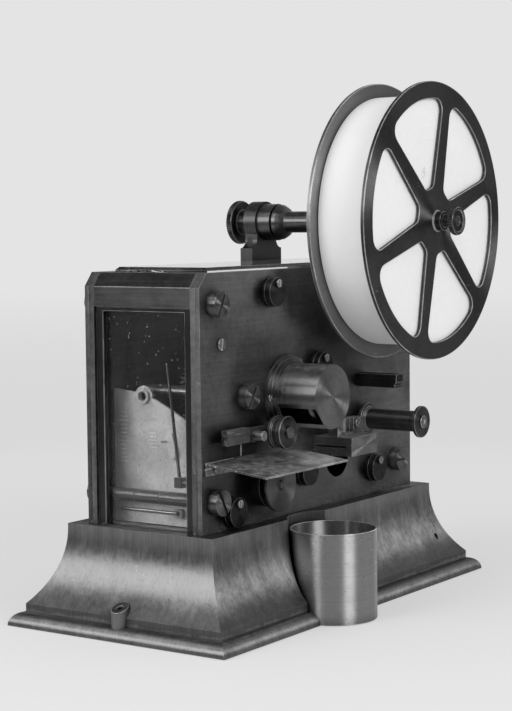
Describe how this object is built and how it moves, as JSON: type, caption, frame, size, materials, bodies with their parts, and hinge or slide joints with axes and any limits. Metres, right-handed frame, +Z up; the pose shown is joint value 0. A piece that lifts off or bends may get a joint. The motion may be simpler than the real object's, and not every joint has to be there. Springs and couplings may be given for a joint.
{
  "type": "telegraph recorder",
  "caption": "Clockwork tape recorder for telegraph signals: a glazed metal case on a moulded base, with a spoked paper reel above and a tape path on its front.",
  "frame": {"origin": "centre of the base's underside", "axes": "+X to the right along the front plate, +Y to the back, +Z up"},
  "size_m": [0.2732, 0.1729, 0.2927],
  "materials": {
    "base_metal": "dulled, brushed along its length",
    "base_plate_metal": "dark, flat",
    "bright_screw": "worn bright",
    "lug_metal": "turned, dulled",
    "front_metal": "dark lacquer, brushed",
    "back_metal": "dark lacquer, brushed",
    "rail_metal": "dark lacquer, soft sheen",
    "bead_metal": "brushed, dulled",
    "side_glass": "clear, dusty",
    "end_metal": "dark lacquer, brushed",
    "top_glass": "clear with ground bevels",
    "pillar_metal": "turned",
    "large_screw": "turned and blued, worn at the edges",
    "cap_screw": "turned",
    "cap_metal": "turned, dulled",
    "boss_metal": "turned, dark",
    "drum_metal": "spun, dulled",
    "table_metal": "worn bright by the tape",
    "block_metal": "brushed, dulled",
    "bar_metal": "dark, worn edges",
    "steel": "turned",
    "spool_metal": "turned, dark",
    "arm_metal": "filed, dulled",
    "roller_metal": "turned, dark",
    "bush_metal": "turned, dark",
    "wheel_metal": "milled, dark",
    "bracket_metal": "dark, brushed",
    "spindle_metal": "turned, dark",
    "knob_metal": "turned and knurled, dark",
    "back_flange": "dark lacquer",
    "front_flange": "dark lacquer, scratched",
    "core_tube": "plain",
    "paper": "wound edge, matt",
    "nut_metal": "turned and knurled, dark",
    "cup_metal": "polished, scuffed",
    "train_brass": "cut and turned",
    "coil_covering": "wound silk, matt",
    "soft_iron": "machined, dark",
    "scale_metal": "engraved, dusty",
    "terminal_metal": "turned, dulled"
  },
  "bodies": {
    "frame": {"base_moulding": "base_metal", "base_plate": "base_plate_metal", "base_plate_screws": "bright_screw", "hold_down_lugs": "lug_metal", "front_plate": "front_metal", "back_plate": "back_metal", "left_end_rail": "rail_metal", "glazing_bead": "bead_metal", "side_glass": "side_glass", "right_end_plate": "end_metal", "top_rear_bar": "end_metal", "top_glass": "top_glass", "case_pillars": "pillar_metal", "front_pillar_screws": "large_screw", "back_pillar_screws": "large_screw", "small_plate_screws": "bright_screw", "oil_cap_seats": "cap_metal", "oil_cap_screws": "cap_screw", "winding_boss": "boss_metal", "drum_cover": "drum_metal", "drum_cover_screws": "cap_screw", "tape_table": "table_metal", "tape_block": "block_metal", "tape_gate": "block_metal", "guide_bar": "bar_metal", "guide_spool_stud": "steel", "arm_pivot_stud": "steel", "setting_wheel_bush": "bush_metal", "reel_bracket": "bracket_metal", "bracket_screws": "bright_screw", "reel_spindle": "spindle_metal", "magnet_coils": "coil_covering", "magnet_yoke": "soft_iron", "scale_plate": "scale_metal", "terminal_posts": "terminal_metal"},
    "barrel": {"spring_barrel": "train_brass", "mainspring": "steel"},
    "winding_arbor": {"winding_arbor": "steel"},
    "second_arbor": {"second_arbor": "train_brass"},
    "third_arbor": {"third_arbor": "train_brass"},
    "marking_arbor": {"marking_arbor": "train_brass"},
    "fly_arbor": {"fly_arbor": "train_brass"},
    "reel": {"reel_back_flange": "back_flange", "reel_front_flange": "front_flange", "reel_core_tube": "core_tube", "paper_roll": "paper"},
    "thumb_nut": {"thumb_nut": "nut_metal"},
    "rear_knob": {"rear_knob": "knob_metal"},
    "guide_spool": {"guide_spool": "spool_metal"},
    "roller_arm": {"roller_arm": "arm_metal"},
    "pressure_roller": {"pressure_roller": "roller_metal"},
    "setting_wheel": {"setting_wheel": "wheel_metal"},
    "oil_cap_upper": {"oil_cap_upper": "cap_metal"},
    "oil_cap_drum": {"oil_cap_drum": "cap_metal"},
    "oil_cap_centre": {"oil_cap_centre": "cap_metal"},
    "oil_cap_right": {"oil_cap_right": "cap_metal"},
    "oil_cap_left": {"oil_cap_left": "cap_metal"},
    "cup": {"cup": "cup_metal"},
    "armature": {"armature": "soft_iron"},
    "signal_rod": {"signal_rod": "steel"}
  },
  "joints": [
    {"name": "barrel_turn", "type": "hinge", "parent": "frame", "child": "barrel", "pos_m": [0.0235, 0, 0.081], "axis": [0, 1, 0], "continuous": true},
    {"name": "second_arbor_turn", "type": "hinge", "parent": "frame", "child": "second_arbor", "pos_m": [-0.01217, 0, 0.07611], "axis": [0, 1, 0], "continuous": true},
    {"name": "third_arbor_turn", "type": "hinge", "parent": "frame", "child": "third_arbor", "pos_m": [-0.03208, 0, 0.09692], "axis": [0, 1, 0], "continuous": true},
    {"name": "marking_arbor_turn", "type": "hinge", "parent": "frame", "child": "marking_arbor", "pos_m": [-0.0276, 0, 0.1205], "axis": [0, 1, 0], "continuous": true},
    {"name": "fly_turn", "type": "hinge", "parent": "frame", "child": "fly_arbor", "pos_m": [0.00364, 0, 0.13392], "axis": [0, 1, 0], "continuous": true},
    {"name": "winding_turn", "type": "hinge", "parent": "frame", "child": "winding_arbor", "pos_m": [0.0235, 0, 0.081], "axis": [0, 1, 0], "continuous": true},
    {"name": "reel_turn", "type": "hinge", "parent": "frame", "child": "reel", "pos_m": [0.0527, -0.068, 0.2142], "axis": [0, 1, 0], "continuous": true},
    {"name": "thumb_nut_turn", "type": "hinge", "parent": "frame", "child": "thumb_nut", "pos_m": [0.0527, -0.095, 0.2142], "axis": [0, 1, 0], "continuous": true},
    {"name": "rear_knob_turn", "type": "hinge", "parent": "frame", "child": "rear_knob", "pos_m": [0.0527, 0.048, 0.2142], "axis": [0, 1, 0], "continuous": true},
    {"name": "guide_spool_turn", "type": "hinge", "parent": "frame", "child": "guide_spool", "pos_m": [0.051, -0.06, 0.0997], "axis": [0, 1, 0], "continuous": true},
    {"name": "roller_arm_lift", "type": "hinge", "parent": "frame", "child": "roller_arm", "pos_m": [-0.0685, -0.042, 0.1025], "axis": [0, -1, 0], "range_deg": [0, 6], "stiffness_Nm_per_rad": 0.3, "springref_deg": -5.73},
    {"name": "pressure_roller_turn", "type": "hinge", "parent": "roller_arm", "child": "pressure_roller", "pos_m": [-0.0487, -0.048, 0.1025], "axis": [0, 1, 0], "continuous": true},
    {"name": "setting_wheel_turn", "type": "hinge", "parent": "frame", "child": "setting_wheel", "pos_m": [-0.051, -0.048, 0.0744], "axis": [0, 1, 0], "continuous": true},
    {"name": "oil_cap_upper_swing", "type": "hinge", "parent": "frame", "child": "oil_cap_upper", "pos_m": [-0.0437, -0.0416, 0.182], "axis": [0, -1, 0], "range_deg": [0, 150]},
    {"name": "oil_cap_drum_swing", "type": "hinge", "parent": "frame", "child": "oil_cap_drum", "pos_m": [0.00364, -0.0416, 0.13862], "axis": [0, -1, 0], "range_deg": [0, 150]},
    {"name": "oil_cap_centre_swing", "type": "hinge", "parent": "frame", "child": "oil_cap_centre", "pos_m": [-0.01217, -0.0416, 0.08081], "axis": [0, 1, 0], "range_deg": [0, 120]},
    {"name": "oil_cap_right_swing", "type": "hinge", "parent": "frame", "child": "oil_cap_right", "pos_m": [0.0622, -0.0416, 0.074], "axis": [0, -1, 0], "range_deg": [0, 150]},
    {"name": "oil_cap_left_swing", "type": "hinge", "parent": "frame", "child": "oil_cap_left", "pos_m": [-0.082, -0.0416, 0.0679], "axis": [0, -1, 0], "range_deg": [0, 150]},
    {"name": "cup_slide", "type": "slide", "parent": "frame", "child": "cup", "axis": [0, -1, 0], "range_m": [0, 0.06]},
    {"name": "armature_rock", "type": "hinge", "parent": "frame", "child": "armature", "pos_m": [-0.082, 0, 0.0632], "axis": [0, 1, 0], "range_deg": [0, 1.5], "stiffness_Nm_per_rad": 0.6, "springref_deg": -2.86},
    {"name": "signal_rod_turn", "type": "hinge", "parent": "frame", "child": "signal_rod", "pos_m": [-0.097, -0.0164, 0.0792], "axis": [0, 1, 0], "range_deg": [-2, 2]}
  ],
  "couplings": [
    {"joint": "second_arbor_turn", "follows": "barrel_turn", "ratio": -2},
    {"joint": "third_arbor_turn", "follows": "barrel_turn", "ratio": 4},
    {"joint": "marking_arbor_turn", "follows": "barrel_turn", "ratio": -8},
    {"joint": "fly_turn", "follows": "barrel_turn", "ratio": 11.429}
  ]
}
